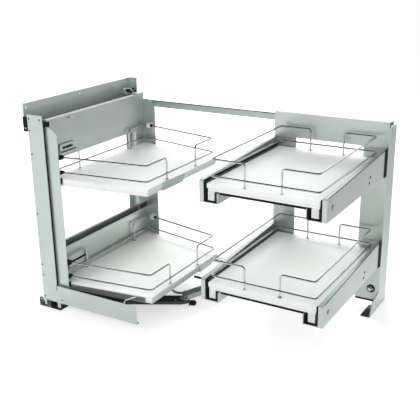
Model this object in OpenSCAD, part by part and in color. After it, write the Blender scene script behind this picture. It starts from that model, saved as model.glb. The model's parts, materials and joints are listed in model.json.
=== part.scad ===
// Blind corner pull out for a kitchen base cabinet, shown closed.
// A front carriage with two tapered trays slides out on the left.
// A rear carriage with two drawer trays runs to the left along a rear bar.
// Millimetres. X runs right along the cabinet, Y to the rear, Z up.
// The origin is on the cabinet floor, at the left wall and the front plane of the door frame.

/* [Sheet and wire] */
// Thickness of the folded steel sheet
sheet = 2; // [1.5:0.1:2.5]
// Diameter of the gallery wire
wire_d = 5; // [4:0.1:5.5]
// Bend radius of the gallery wire, on its centre line
wire_bend = 9; // [7:0.5:12]

/* [Fixed rails] */
// Height of the wall guide rail
rail_height = 70; // [64:1:80]
// Floor to the lower edge of the guide rail
rail_level = 524; // [516:1:530]
// Distance from the wall to the slide side of both rails
rail_lip_x = 36; // [34:0.5:38]
// Width of the floor rail's base
floor_rail_width = 78; // [76:1:90]
// Height of the rear bar
bar_height = 20; // [16:1:22]
// Thickness of the rear bar
bar_thick = 4; // [3:0.5:6]

/* [Front carriage] */
// Wall to the outer face of the side sheets
carriage_x = 66; // [64:1:72]
// Length of the front carriage over its flanges
carriage_length = 454; // [430:1:470]
// Width of the front post
post_width = 41; // [36:1:46]
// Width of the rear upright's flange
upright_width = 44; // [38:1:50]
// Height of the front post's top above the floor
post_top = 536; // [528:1:546]
// Height of the upper side sheet
upper_panel_height = 115; // [105:1:125]
// Height of the lower side sheet
lower_panel_height = 168; // [150:1:180]
// Length of the door frame's foot bar
door_bar_length = 330; // [280:1:360]
// Width of the door frame's post and bar
door_frame_width = 53; // [46:1:53]
// Height of the door frame
door_frame_height = 544; // [530:1:560]

/* [Front trays] */
// Reach of the front trays from the side sheets
front_tray_reach = 298; // [270:1:306]
// Set-back of the front tray's front edge at its free end
front_taper = 37; // [25:1:45]
// Set-back of the front tray's rear edge at its free end
rear_taper = 58; // [45:1:70]
// Top of the lower front board above the floor
front_board_level = 87; // [84:1:92]
// Step from the lower to the upper front board
front_board_pitch = 306; // [296:1:312]

/* [Rear carriage] */
// Left wall to the outer face of the right side flange
unit_width = 864; // [850:1:900]
// Width of the rear carriage
rear_width = 335; // [325:1:345]
// Height of the header plate
header_height = 70; // [60:1:76]
// Width of the left upright
left_upright_width = 68; // [60:1:76]
// Width of the right upright
right_upright_width = 69; // [60:1:76]
// Depth of the right side flange behind the front face
side_flange_depth = 63; // [55:1:70]
// Length of the tray channels
channel_length = 422; // [400:1:430]
// Height of the tray channels' outer wall
channel_height = 55; // [50:1:62]
// Width of the tray channels
channel_width = 51; // [48:1:54]

/* [Rear trays] */
// Top of the upper rear board above the floor
rear_board_level = 441; // [436:1:446]
// Step from the lower to the upper rear board
rear_board_pitch = 263; // [255:1:280]

/* [Boards and galleries] */
// Thickness of the tray boards
board_thick = 19; // [16:0.5:19]
// Height of the upper wire above a board
gallery_height = 60; // [52:1:66]
// Height of the lower wire above a board
lower_wire_height = 18; // [14:1:24]

/* [Coupling arms] */
// Elbow pivot, distance from the left wall
elbow_x = 374; // [360:1:384]
// Elbow pivot, distance behind the door frame
elbow_y = 198; // [190:1:206]
// Width of the flat front arm
front_arm_width = 42; // [36:1:42]
// Width of the rear channel arm
rear_arm_width = 30; // [24:1:34]
// Diameter of the floor roller
roller_d = 16; // [14:0.5:18]

/* [Hidden] */
$fn = 48;

// clearances
slide_gap = 0.5;
pin_gap = 0.1;
glide_gap = 0.3;
floor_gap = 0.5;
bar_notch_gap = 1.5;

// a bend is drawn slightly thinner than the straight wire and laps into it
bend_draw = 0.2;
bend_lap = 0.4;

// fixed rails
rail_front = 2;
rail_overhang = 12;
carriage_front = 8;
carriage_rear = carriage_front + carriage_length;
rail_rear = carriage_rear + rail_overhang;
rail_top = rail_level + rail_height;
rail_top_lip = 10;
bar_y = rail_rear;
bar_z = rail_level - 16;
bar_top = bar_z + bar_height;
screw_hole_d = 5;
floor_rail_front = -3;
floor_wall_front = 4;
slide_height = 26;
upper_slide_z = rail_level;
lower_slide_z = 30;
floor_wall_top = lower_slide_z + slide_height;

boss_d = 22;
boss_height = 26;
boss_setback = 20;
boss_bore = 14;
boss_rise = 25;

// front carriage
slide_front = carriage_front + sheet + 2;
slide_length = carriage_length - 2 * sheet - 20;
slide_room = carriage_x - rail_lip_x;
slide_depth = (slide_room - 2 * slide_gap) / 3;
panel_face = carriage_x + sheet;
flange_back = carriage_front + sheet;
rear_face = carriage_rear - sheet;
post_bottom = 60;
upright_top = post_top - 3;
upper_panel_top = post_top + 17;
upper_panel_bottom = upper_panel_top - upper_panel_height;
lower_panel_bottom = 28;
lower_panel_top = lower_panel_bottom + lower_panel_height;
band_height = 20;
band_depth = 6;
ledge_height = 13;
door_x = 15;
door_bottom = 22;
door_top = door_bottom + door_frame_height;
door_hole_inset = 6;

// front trays
tray_right = panel_face + front_tray_reach;
wire_inset = 6;
upper_front_board = front_board_level + front_board_pitch;
strap_thick = 2;
strap_upper_from = 115;
strap_upper_to = 226;
strap_lower_from = 296;
strap_lower_to = 372;
pan_depth = 13;
skirt_thick = 1.5;

// rear carriage
frame_right = unit_width;
frame_left = unit_width - rear_width;
bar_standoff = 19;
plate_y = bar_y - bar_standoff;
header_top = bar_top + 10;
header_bottom = header_top - header_height;
upright_bottom = 15;
side_flange_top = header_top - 15;
foot_reach = 74;
foot_height = 48;
foot_flange = 26;
hem_width = 12;
slide_stack = 27;
upper_channel_z = rear_board_level - board_thick - slide_stack - sheet;
lower_channel_z = upper_channel_z - rear_board_pitch;
channel_front = plate_y - channel_length;
channel_left_x = frame_left + 1;
channel_right_x = frame_right - sheet;
channel_edge = 6.5;
inner_wall = 27;
keyhole_setback = 34;
keyhole_drop = 26;
keyhole_d = 10;
slot_y = channel_front + 288;
slot_drop = 24;
slot_pitch = 14;
slot_w = 7;
plug_depth = 9;
plug_wall = 5;
cover_thick = 1.2;
trim_thick = 1;
buffer_r = 8.5;
cover_depth = 20;
strip_width = 2.5;
strip_thick = 1.5;
pan_thick = 6;
board_left = channel_left_x + hem_width + channel_edge;
board_right = channel_right_x - hem_width - channel_edge;
board_front = channel_front + 5;
board_rear = plate_y - 7;
rear_wire_inset = 5.5;
lower_rear_board = rear_board_level - rear_board_pitch;
slide_width = 24;
slide_centre = hem_width + (channel_width - sheet - hem_width) / 2;
rail_pitch_left = channel_left_x + slide_centre;
rail_pitch_right = channel_right_x - slide_centre;

// coupling arms
arm_x = floor_rail_width - 20;
arm_y = 26;
link_x = frame_left - 49;
link_y = plate_y - 9;
arm_angle = atan2(elbow_y - arm_y, elbow_x - arm_x);
arm_length = norm([elbow_x - arm_x, elbow_y - arm_y]);
link_angle = atan2(link_y - elbow_y, link_x - elbow_x);
link_length = norm([link_x - elbow_x, link_y - elbow_y]);
arm_z = 18;
arm_thick = 4;
link_z = arm_z + arm_thick + 2;
link_wall = 14;
pivot_d = 8;
arm_nose = 14;
roller_length = 17;
roller_round = 4;
axle_d = 6;
bracket_z = link_z + link_wall + 2;
link_slot_play = 10;
link_slot_side = 2;

// finishes
steel = [0.74, 0.78, 0.76];
shade_steel = [0.36, 0.40, 0.38];
chrome = [0.80, 0.81, 0.82];
white = [0.95, 0.95, 0.94];
black = [0.08, 0.08, 0.08];

// a box between two corners
module box(a, b) {
    translate(a) cube([b[0] - a[0], b[1] - a[1], b[2] - a[2]]);
}

// a plate drawn in X and Z, from y0 to y0 + t
module sheet_y(y0, t) {
    translate([0, y0 + t, 0]) rotate([90, 0, 0]) linear_extrude(t) children();
}

// a plate drawn in Y and Z, from x0 to x0 + t
module sheet_x(x0, t) {
    translate([x0, 0, 0]) rotate([90, 0, 90]) linear_extrude(t) children();
}

// a plate drawn in X and Y, from z0 to z0 + t
module sheet_z(z0, t) {
    translate([0, 0, z0]) linear_extrude(t) children();
}

// a rectangle between two corners
module rect(a, b) {
    translate(a) square([b[0] - a[0], b[1] - a[1]]);
}

// a rectangle whose four corners are rounded
module round_rect(a, b, r) {
    rect([a[0] + r, a[1]], [b[0] - r, b[1]]);
    rect([a[0], a[1] + r], [b[0], b[1] - r]);
    for (x = [a[0] + r, b[0] - r], y = [a[1] + r, b[1] - r]) translate([x, y]) circle(r);
}

// a slot with round ends between two points on one axis
module slot(a, b, w) {
    for (p = [a, b]) translate(p) circle(d = w);
    d = b - a;
    translate(a) rotate(atan2(d[1], d[0])) translate([0, -w / 2]) square([norm(d), w]);
}

// bores along each axis
module bore_x(x, y, z, d) {
    translate([x - 10, y, z]) rotate([0, 90, 0]) cylinder(d = d, h = 20);
}
module bore_y(x, y, z, d) {
    translate([x, y - 10, z]) rotate([-90, 0, 0]) cylinder(d = d, h = 20);
}
module bore_z(x, y, z, d) {
    translate([x, y, z - 10]) cylinder(d = d, h = 20);
}

// a straight rod between two points
module rod(a, b, d) {
    v = b - a;
    translate(a)
        rotate([0, acos(v[2] / norm(v)), atan2(v[1], v[0])])
            cylinder(d = d, h = norm(v));
}

function unit(v) = v / norm(v);
function turn_angle(a, b) = acos(max(-1, min(1, a * b)));
function trim(a, b, r) = r * tan(turn_angle(a, b) / 2);

// one bend of a wire at the corner p, between the directions u and v
module bend(p, u, v, d, r) {
    angle = turn_angle(u, v);
    axis = unit(cross(u, v));
    out = cross(u, axis);
    centre = p - u * trim(u, v, r) - out * r;
    multmatrix([
        [out[0], u[0], axis[0], centre[0]],
        [out[1], u[1], axis[1], centre[1]],
        [out[2], u[2], axis[2], centre[2]],
        [0, 0, 0, 1]
    ])
        rotate_extrude(angle = angle) translate([r, 0]) circle(d = d - bend_draw);
}

// a bent wire through open or closed points
module wire(points, d, r, closed = false) {
    n = len(points);
    last = closed ? n - 1 : n - 2;
    dirs = [for (i = [0:last]) unit(points[(i + 1) % n] - points[i])];
    for (i = [0:last]) {
        before = closed ? dirs[(i + n - 1) % n] : (i > 0 ? dirs[i - 1] : dirs[i]);
        after = closed ? dirs[(i + 1) % n] : (i < last ? dirs[i + 1] : dirs[i]);
        start = points[i] + dirs[i] * (trim(before, dirs[i], r) - (closed || i > 0 ? bend_lap : 0));
        end = points[(i + 1) % n] - dirs[i] * (trim(dirs[i], after, r) - (closed || i < last ? bend_lap : 0));
        rod(start, end, d);
        if (closed || i < last) bend(points[(i + 1) % n], dirs[i], after, d, r);
    }
}

// the round foot of a gallery post
module post_foot(x, y, z) {
    translate([x, y, z]) cylinder(d = 2 * wire_d, h = 2);
}

// fixed rails

module guide_rail() {
    color(steel) difference() {
        union() {
            sheet_y(rail_front, rail_rear - rail_front) {
                rect([0, rail_level], [sheet, rail_top]);
                rect([0, rail_level], [rail_lip_x, rail_level + sheet]);
                rect([rail_lip_x - sheet, rail_level], [rail_lip_x, rail_level + slide_height]);
                rect([0, rail_top - sheet], [rail_top_lip, rail_top]);
            }
            sheet_y(rail_rear - sheet, sheet)
                rect([0, bar_z], [rail_lip_x, rail_top]);
            translate([sheet, rail_rear - boss_setback, rail_level + boss_rise]) rotate([0, 90, 0])
                cylinder(d = boss_d, h = boss_height);
        }
        translate([sheet + 1, rail_rear - boss_setback, rail_level + boss_rise]) rotate([0, 90, 0])
            cylinder(d = boss_bore, h = boss_height);
        for (y = [rail_front + 12, (rail_front + rail_rear) / 2 - 1, rail_rear - 14])
            bore_x(sheet, y, rail_top - 14, screw_hole_d);
    }
}

// black ends of the guide rail: a front cap, a rear bumper and the core of the rear boss
module rail_end_caps() {
    color(black) {
        box([0, rail_front - 3, rail_level - 6], [door_x - 2, rail_front, rail_level + 34]);
        box([rail_lip_x - 17, rail_rear - sheet - 4, rail_level + 13],
            [rail_lip_x - 3, rail_rear - sheet, rail_level + 37]);
        translate([sheet + 1, rail_rear - boss_setback, rail_level + boss_rise]) rotate([0, 90, 0])
            cylinder(d = boss_bore - 2 * glide_gap, h = boss_height - 5);
    }
}

module floor_rail() {
    color(shade_steel) difference() {
        union() {
            box([0, floor_rail_front, 0], [floor_rail_width, rail_rear - 20, sheet]);
            box([0, floor_rail_front, 0], [sheet, rail_rear - 20, 8]);
            box([rail_lip_x - sheet, floor_wall_front, 0], [rail_lip_x, rail_rear - 20, floor_wall_top]);
            sheet_y(floor_rail_front, sheet) {
                rect([0, 0], [14, 21]);
                translate([7, 21]) circle(7);
            }
        }
        bore_y(7, floor_rail_front, 21, screw_hole_d);
        for (y = [40, 430]) bore_z(18, y, sheet, screw_hole_d);
    }
}

module rear_bar() {
    color(steel) box([0, bar_y, bar_z], [frame_right - sheet - slide_gap, bar_y + bar_thick, bar_top]);
}

module rear_floor_rail() {
    y0 = plate_y + side_flange_depth + floor_gap;
    color(steel) difference() {
        union() {
            box([105, y0, 0], [frame_right - 16, y0 + 38, sheet]);
            box([105, y0, 0], [frame_right, y0 + sheet, 10]);
        }
        bore_z(292, y0 + 20, sheet, 20);
        for (x = [130, 700]) bore_z(x, y0 + 20, sheet, screw_hole_d);
    }
}

// the three members of a side slide, as one profile each
module outer_member(z0) {
    sheet_y(slide_front, slide_length) translate([rail_lip_x, z0]) {
        rect([0, 0], [sheet, slide_height]);
        rect([0, 0], [slide_depth, 3]);
        rect([0, slide_height - 3], [slide_depth, slide_height]);
    }
}

module mid_member(z0) {
    sheet_y(slide_front, slide_length) translate([rail_lip_x + slide_depth + slide_gap, z0]) {
        rect([0, 4], [slide_depth, 7]);
        rect([0, slide_height - 7], [slide_depth, slide_height - 4]);
        rect([slide_depth / 2 - 1.5, 4], [slide_depth / 2 + 1.5, slide_height - 4]);
        rect([0, 0], [2, 7]);
        rect([0, slide_height - 7], [2, slide_height]);
        rect([slide_depth - 2, 0], [slide_depth, 7]);
        rect([slide_depth - 2, slide_height - 7], [slide_depth, slide_height]);
    }
}

module inner_member(z0) {
    sheet_y(slide_front, slide_length) translate([carriage_x - slide_depth, z0]) {
        rect([slide_depth - sheet, 0], [slide_depth, slide_height]);
        rect([0, 0], [slide_depth, 3]);
        rect([0, slide_height - 3], [slide_depth, slide_height]);
    }
}

module upper_slide_outer() { color(shade_steel) outer_member(upper_slide_z); }
module lower_slide_outer() { color(shade_steel) outer_member(lower_slide_z); }
module upper_slide_mid() { color(steel) mid_member(upper_slide_z); }
module lower_slide_mid() { color(steel) mid_member(lower_slide_z); }
module upper_slide_inner() { color(shade_steel) inner_member(upper_slide_z); }
module lower_slide_inner() { color(shade_steel) inner_member(lower_slide_z); }

// front carriage

module door_frame() {
    right = door_x + door_frame_width;
    color(steel) difference() {
        union() {
            sheet_y(0, sheet) {
                rect([door_x, door_bottom], [right, door_top]);
                rect([door_x, door_bottom], [door_x + door_bar_length, door_bottom + door_frame_width]);
                rect([door_x, 6], [door_x + 10, door_bottom + 1]);
                rect([right - 2, 6], [right + 8, door_bottom + 1]);
            }
            box([right + 20, 0, door_bottom], [door_x + door_bar_length, 12, door_bottom + sheet]);
        }
        for (z = [door_bottom + 11, 99, 132, 285, 457, 522, door_top - 12])
            bore_y(door_x + door_hole_inset, 0, z, screw_hole_d);
        bore_y(right - 10, 0, door_top - 12, screw_hole_d);
        bore_y(right + 17, 0, door_bottom + 11, screw_hole_d);
        sheet_y(-1, sheet + 2)
            rect([right - 1.5, door_bottom + door_frame_width - 14],
                [right + 1.5, door_bottom + door_frame_width + 1]);
    }
}

module front_post() {
    cut = 10;
    right = carriage_x + post_width;
    color(steel) union() {
        sheet_y(carriage_front, sheet) polygon([
            [carriage_x, post_bottom], [right, post_bottom], [right, post_top - cut - 9],
            [right - cut, post_top - 9], [carriage_x + 12, post_top], [carriage_x, post_top]
        ]);
        box([carriage_x, carriage_front, lower_panel_top],
            [panel_face, carriage_front + 42, upper_panel_bottom]);
    }
}

module rear_upright() {
    r = 30;
    right = carriage_x + upright_width;
    color(steel) union() {
        sheet_y(rear_face, sheet) {
            rect([carriage_x, post_bottom], [right, upright_top - r]);
            rect([carriage_x, post_bottom], [right - r, upright_top]);
            translate([right - r, upright_top - r]) circle(r);
        }
        box([carriage_x, rear_face - 46, lower_panel_top], [panel_face, carriage_rear, upper_panel_bottom]);
    }
}

module upper_panel() {
    color(steel) difference() {
        union() {
            box([carriage_x, flange_back, upper_panel_bottom], [panel_face, rear_face, upper_panel_top]);
            box([carriage_x - 8, flange_back, upper_panel_top - sheet],
                [panel_face, rear_face, upper_panel_top]);
            box([carriage_x, flange_back, upper_panel_top - 12],
                [panel_face + 1.5, rear_face, upper_panel_top]);
        }
        box([carriage_x - 1, 96, upper_panel_top - 11], [panel_face + 3, 110, upper_panel_top - 8]);
    }
}

module lower_panel() {
    x1 = carriage_x - band_depth;
    z1 = lower_panel_top - band_height;
    color(steel) union() {
        box([carriage_x, flange_back, lower_panel_bottom], [panel_face, rear_face, z1]);
        box([x1, flange_back, z1 - sheet], [panel_face, rear_face, z1]);
        box([x1, flange_back, z1 - sheet], [x1 + sheet, rear_face, lower_panel_top]);
        box([x1, flange_back, lower_panel_top - sheet], [panel_face, rear_face, lower_panel_top]);
        box([carriage_x, flange_back + 3, front_board_level],
            [panel_face + sheet, rear_face, front_board_level + ledge_height]);
    }
}

// a slotted housing on the inner face of a side sheet
module catch_housing(z0, h, y1) {
    y0 = carriage_front + 46;
    mid = z0 + h / 2;
    difference() {
        sheet_x(panel_face, 6) round_rect([y0, z0], [y1, z0 + h], 5);
        sheet_x(panel_face + 2, 6) slot([y0 + 14, mid], [y1 - 14, mid], 7);
    }
}

module catch_upper() { color(steel) catch_housing(upper_panel_bottom + 16, 22, 118); }
module catch_lower() { color(steel) catch_housing(front_board_level + 23, 32, 140); }

module frame_spacers() {
    x0 = door_x + door_frame_width - 8;
    z1 = upper_panel_top - 2;
    color(black) union() {
        box([x0, sheet, post_bottom + 2], [carriage_x + 1, carriage_front, z1]);
        box([x0, sheet, post_top + 2], [carriage_x + 18, carriage_front + sheet, z1]);
    }
}

// the outline of a front tray board, drawn in by an even margin
function tray_points(m) = [
    [panel_face + m, flange_back + m * 0.88 + 0.5],
    [tray_right - m, flange_back + front_taper + m * 1.1],
    [tray_right - m, rear_face - rear_taper - m * 1.1],
    [panel_face + m, rear_face - m * 0.82 - 0.5]
];

module left_board(top) {
    step = 7;
    color(white) union() {
        sheet_z(top - board_thick + step, board_thick - step) polygon(tray_points(0));
        sheet_z(top - board_thick, step + 0.5) polygon(tray_points(2));
    }
}

module left_board_upper() { left_board(upper_front_board); }
module left_board_lower() { left_board(front_board_level); }

function level(p, z) = [p[0], p[1], z];
function along(a, b, t) = a + (b - a) * t;

// gallery of a front tray: a closed lower wire and two bent upper pieces with their posts
module left_gallery(top) {
    low = tray_points(wire_inset);
    high = tray_points(wire_inset + 3);
    z1 = top + lower_wire_height;
    z2 = top + gallery_height;
    left_front = along(high[0], high[3], 0.25);
    left_rear = along(high[0], high[3], 0.80);
    right_front = along(high[1], high[2], 0.28);
    right_rear = along(high[1], high[2], 0.72);
    color(chrome) union() {
        wire([for (p = low) level(p, z1)], wire_d, wire_bend, true);
        wire([
            level(left_front, top), level(left_front, z2), level(high[0], z2),
            level(high[1], z2), level(right_front, z2), level(right_front, top)
        ], wire_d, wire_bend);
        wire([
            level(left_rear, top), level(left_rear, z2), level(high[3], z2),
            level(high[2], z2), level(right_rear, z2), level(right_rear, top)
        ], wire_d, wire_bend);
        for (p = [left_front, left_rear, right_front, right_rear]) post_foot(p[0], p[1], top);
    }
}

module left_gallery_upper() { left_gallery(upper_front_board); }
module left_gallery_lower() { left_gallery(front_board_level); }

// a strap under a front board, with a tapered end turned up at the board's right edge
module left_strap(top, y0, y1) {
    z0 = top - board_thick - strap_thick;
    color(steel) union() {
        box([panel_face + 40, y0, z0], [tray_right + strap_thick, y1 - 12, z0 + strap_thick]);
        sheet_x(tray_right, strap_thick) polygon([
            [y0, z0], [y1 - 12, z0 + 2], [y1, top - 3], [y1 - 12, top], [y0, top + 2]
        ]);
    }
}

module left_strap_upper() { left_strap(upper_front_board, strap_upper_from, strap_upper_to); }
module left_strap_lower() { left_strap(front_board_level, strap_lower_from, strap_lower_to); }

module tray_pan() {
    z1 = front_board_level - board_thick;
    z0 = z1 - pan_depth;
    rear = strap_lower_from - 1;
    color(shade_steel) difference() {
        sheet_z(z0, pan_depth) intersection() {
            polygon(tray_points(12));
            rect([0, 0], [tray_right - 30, rear]);
        }
        sheet_z(z0 - 1, pan_depth - 1) intersection() {
            polygon(tray_points(12 + sheet));
            rect([0, 0], [tray_right - 30 - sheet, rear - sheet]);
        }
    }
    edge = tray_points(0);
    a = along(edge[0], edge[1], 0.14);
    b = along(edge[0], edge[1], 0.93);
    color(shade_steel) sheet_z(z1, board_thick - 3)
        polygon([a, b, b - [0, skirt_thick], a - [0, skirt_thick]]);
}

module board_packers() {
    x1 = carriage_x + post_width;
    p = tray_points(0);
    slope = (p[1][1] - p[0][1]) / (p[1][0] - p[0][0]);
    y1 = p[0][1] + slope * (x1 - p[0][0]);
    color(black) for (top = [upper_front_board, front_board_level])
        sheet_z(top - board_thick + 8, board_thick - 4) polygon([
            [x1 - 14, flange_back], [x1 + 2, flange_back],
            [x1 + 2, y1 + 2 * slope], [x1 - 14, y1 - 14 * slope]
        ]);
    wire_plugs(x1);
}

// black plugs that hold the gallery's front wires behind the front post
module wire_plugs(x1) {
    low = tray_points(wire_inset);
    high = tray_points(wire_inset + 3);
    color(black) for (top = [upper_front_board, front_board_level])
        for (w = [[high, gallery_height, 5, 2.5], [low, lower_wire_height, 3.6, 1]]) difference() {
            z = top + w[1];
            box([x1 - 14, flange_back, z - w[2]], [x1 + w[3], flange_back + 18, z + w[2]]);
            rod(level(along(w[0][0], w[0][1], -0.1), z), level(along(w[0][0], w[0][1], 0.4), z),
                wire_d + 2 * glide_gap);
        }
}

module gallery_clips() {
    high = tray_points(wire_inset + 3);
    color(white) for (top = [upper_front_board, front_board_level]) {
        z = top + gallery_height;
        a = level(along(high[3], high[2], -0.1), z);
        b = level(along(high[3], high[2], 0.4), z);
        difference() {
            box([panel_face + 20, rear_face - 16, z - 8], [panel_face + 34, rear_face, z + 6]);
            rod(a, b, wire_d + 2 * glide_gap);
        }
    }
}

// black sleeves on the wire beside the clips
module clip_screws() {
    high = tray_points(wire_inset + 3);
    run = high[2] - high[3];
    color(black) for (top = [upper_front_board, front_board_level]) {
        z = top + gallery_height;
        a = high[3] + run * ((panel_face + 35.3 - high[3][0]) / run[0]);
        b = high[3] + run * ((panel_face + 40.3 - high[3][0]) / run[0]);
        difference() {
            rod(level(a, z), level(b, z), 2 * wire_d);
            rod(level(high[3], z), level(high[2], z), wire_d + 2 * glide_gap);
        }
    }
}

// rear carriage

module header_plate() {
    color(steel) union() {
        box([frame_left, plate_y, header_bottom], [frame_right, plate_y + sheet, header_top]);
        box([frame_left, plate_y, header_top - sheet], [frame_right, bar_y + bar_thick + 10, header_top]);
        box([frame_left, bar_y + bar_thick + 8, header_top - 14],
            [frame_right, bar_y + bar_thick + 10, header_top]);
    }
}

module left_upright() {
    color(steel)
        box([frame_left, plate_y, upright_bottom],
            [frame_left + left_upright_width, plate_y + sheet, header_bottom]);
}

module right_upright() {
    x0 = frame_right - sheet;
    y1 = plate_y + side_flange_depth;
    front = plate_y - foot_reach;
    color(steel) difference() {
        union() {
            box([frame_right - right_upright_width, plate_y, upright_bottom],
                [frame_right, plate_y + sheet, header_bottom]);
            sheet_x(x0, sheet) {
                rect([plate_y + sheet, floor_gap], [y1, side_flange_top]);
                rect([plate_y, floor_gap], [plate_y + sheet, header_bottom]);
                polygon([
                    [plate_y + 1, foot_height], [front + 22, foot_height - 12],
                    [front, floor_gap], [plate_y + 1, floor_gap]
                ]);
            }
            box([frame_right - foot_flange, front, floor_gap], [frame_right, plate_y, floor_gap + sheet]);
        }
        box([x0 - 1, bar_y - bar_notch_gap, bar_z - bar_notch_gap],
            [frame_right + 1, bar_y + bar_thick + bar_notch_gap, side_flange_top + 1]);
    }
}

// saddles that hang the header on the rear bar
module header_glides() {
    z1 = header_top - sheet;
    color(black) for (x = [frame_left + 16, frame_right - 36]) difference() {
        box([x, bar_y - 5, bar_top - 9], [x + 30, bar_y + bar_thick + 5, z1]);
        box([x - 1, bar_y - glide_gap, bar_top - 10],
            [x + 31, bar_y + bar_thick + glide_gap, bar_top + glide_gap]);
    }
}

// domed buffer in a black ring, low on the right upright
module foot_buffer() {
    color(steel) translate([frame_right - 24, plate_y, 54]) rotate([90, 0, 0])
        rotate_extrude() intersection() {
            translate([0, -3]) circle(11);
            rect([0, 0], [buffer_r, 9]);
        }
}

module buffer_ring() {
    color(black) translate([frame_right - 24, plate_y, 54]) rotate([90, 0, 0])
        rotate_extrude() translate([buffer_r + glide_gap, 0]) polygon([[0, 0], [3.5, 0], [2.5, 3], [0, 4]]);
}

// a tray channel: outer wall with a folded hem, floor, short inner wall and a closed front end
module channel_left(z0) {
    z1 = z0 + channel_height;
    color(steel) difference() {
        union() {
            sheet_y(channel_front, channel_length) {
                rect([0, z0], [sheet, z1]);
                rect([0, z0], [channel_width, z0 + sheet]);
                rect([0, z1 - sheet], [hem_width, z1]);
                rect([hem_width - sheet, z1 - 30], [hem_width, z1]);
                rect([channel_width - sheet, z0], [channel_width, z0 + inner_wall]);
            }
            sheet_y(channel_front, sheet) rect([0, z0], [hem_width, z1]);
        }
        bore_x(0, channel_front + keyhole_setback, z1 - keyhole_drop, keyhole_d);
        sheet_x(-1, sheet + 2) {
            slot([slot_y, z1 - slot_drop], [slot_y + 4, z1 - slot_drop], slot_w);
            slot([slot_y - 6, z1 - slot_drop - slot_pitch],
                [slot_y - 2, z1 - slot_drop - slot_pitch], slot_w);
        }
    }
}

// black plastic of one channel: a lining of the mouth, a strip on the hem and a cover behind the outer wall
module channel_plug(z0) {
    z1 = z0 + channel_height;
    in0 = hem_width;
    in1 = channel_width - sheet;
    color(black) {
        sheet_y(channel_front + 1, plug_depth) {
            rect([in0, z0 + sheet], [in1, z0 + 2 * sheet]);
            rect([in0, z0 + sheet], [in0 + plug_wall, z1 - 3]);
            rect([in1 - plug_wall, z0 + sheet], [in1, z0 + inner_wall]);
        }
        box([hem_width - strip_width, channel_front + 3, z1], [hem_width, plate_y - 3, z1 + strip_thick]);
    }
}

module channel_plugs() {
    for (z = [upper_channel_z, lower_channel_z]) {
        translate([channel_left_x, 0, 0]) channel_plug(z);
        translate([channel_right_x, 0, 0]) mirror([1, 0, 0]) channel_plug(z);
        color(black) box([channel_right_x, plate_y - cover_depth, z - 2],
            [channel_right_x + cover_thick, plate_y, z + channel_height + 22]);
    }
}

module upper_left_channel() { translate([channel_left_x, 0, 0]) channel_left(upper_channel_z); }
module lower_left_channel() { translate([channel_left_x, 0, 0]) channel_left(lower_channel_z); }
module upper_right_channel() {
    translate([channel_right_x, 0, 0]) mirror([1, 0, 0]) channel_left(upper_channel_z);
}
module lower_right_channel() {
    translate([channel_right_x, 0, 0]) mirror([1, 0, 0]) channel_left(lower_channel_z);
}

// undermount slides of the rear trays: base, middle and top member about a centre line
tray_slide_front = board_front + 8;
tray_slide_length = plate_y - tray_slide_front - 12;

module slide_base(x, z) {
    sheet_y(tray_slide_front, tray_slide_length) translate([x, z]) {
        rect([-slide_width / 2, 0], [slide_width / 2, sheet]);
        rect([-slide_width / 2, 0], [-slide_width / 2 + sheet, 13]);
        rect([slide_width / 2 - sheet, 0], [slide_width / 2, 13]);
    }
}

module slide_mid(x, z) {
    w = slide_width / 2 - sheet - slide_gap;
    z0 = sheet + slide_gap;
    z1 = slide_stack - sheet - slide_gap;
    sheet_y(tray_slide_front, tray_slide_length) translate([x, z]) {
        rect([-w, z0], [w, z0 + 3]);
        rect([-w, z1 - 3], [w, z1]);
        rect([-3, z0], [3, z1]);
    }
}

module slide_top(x, z) {
    sheet_y(tray_slide_front, tray_slide_length) translate([x, z]) {
        rect([-slide_width / 2, slide_stack - sheet], [slide_width / 2, slide_stack]);
        rect([-slide_width / 2, 15], [-slide_width / 2 + sheet, slide_stack]);
        rect([slide_width / 2 - sheet, 15], [slide_width / 2, slide_stack]);
    }
}

module slide_cap(x, z) {
    box([x - 9, board_front, z + 4], [x + 9, tray_slide_front, z + slide_stack]);
}

module tray_slide_bases() {
    color(steel) for (z = [upper_channel_z, lower_channel_z], x = [rail_pitch_left, rail_pitch_right])
        slide_base(x, z + sheet);
}

module tray_slide_mids(z) {
    color(shade_steel) for (x = [rail_pitch_left, rail_pitch_right]) slide_mid(x, z + sheet);
}
module tray_slide_mid_upper() { tray_slide_mids(upper_channel_z); }
module tray_slide_mid_lower() { tray_slide_mids(lower_channel_z); }

module tray_slide_tops(z) {
    color(steel) for (x = [rail_pitch_left, rail_pitch_right]) slide_top(x, z + sheet);
}
module tray_slide_tops_upper() { tray_slide_tops(upper_channel_z); }
module tray_slide_tops_lower() { tray_slide_tops(lower_channel_z); }

module slide_caps(z) {
    color(white) for (x = [rail_pitch_left, rail_pitch_right]) slide_cap(x, z + sheet);
}
module slide_caps_upper() { slide_caps(upper_channel_z); }
module slide_caps_lower() { slide_caps(lower_channel_z); }

module stop_pin() {
    color(black) translate([channel_left_x, channel_front + 24, lower_channel_z + 45])
        rotate([0, -90, 0]) cylinder(d = 6, h = 34);
}

module pivot_bracket() {
    color(steel) difference() {
        union() {
            box([link_x - 18, link_y - 24, bracket_z], [frame_left + 30, plate_y, bracket_z + 3]);
            box([link_x - 18, link_y, bracket_z], [frame_left - 2, link_y + 24, bracket_z + 3]);
            box([frame_left + 2, plate_y - 3, bracket_z], [frame_left + 30, plate_y, bracket_z + 30]);
        }
        sheet_z(bracket_z - 1, 5)
            slot([link_x, link_y - link_slot_play], [link_x, link_y + link_slot_play],
                pivot_d + 2 * link_slot_side);
    }
}

// rear trays

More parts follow.
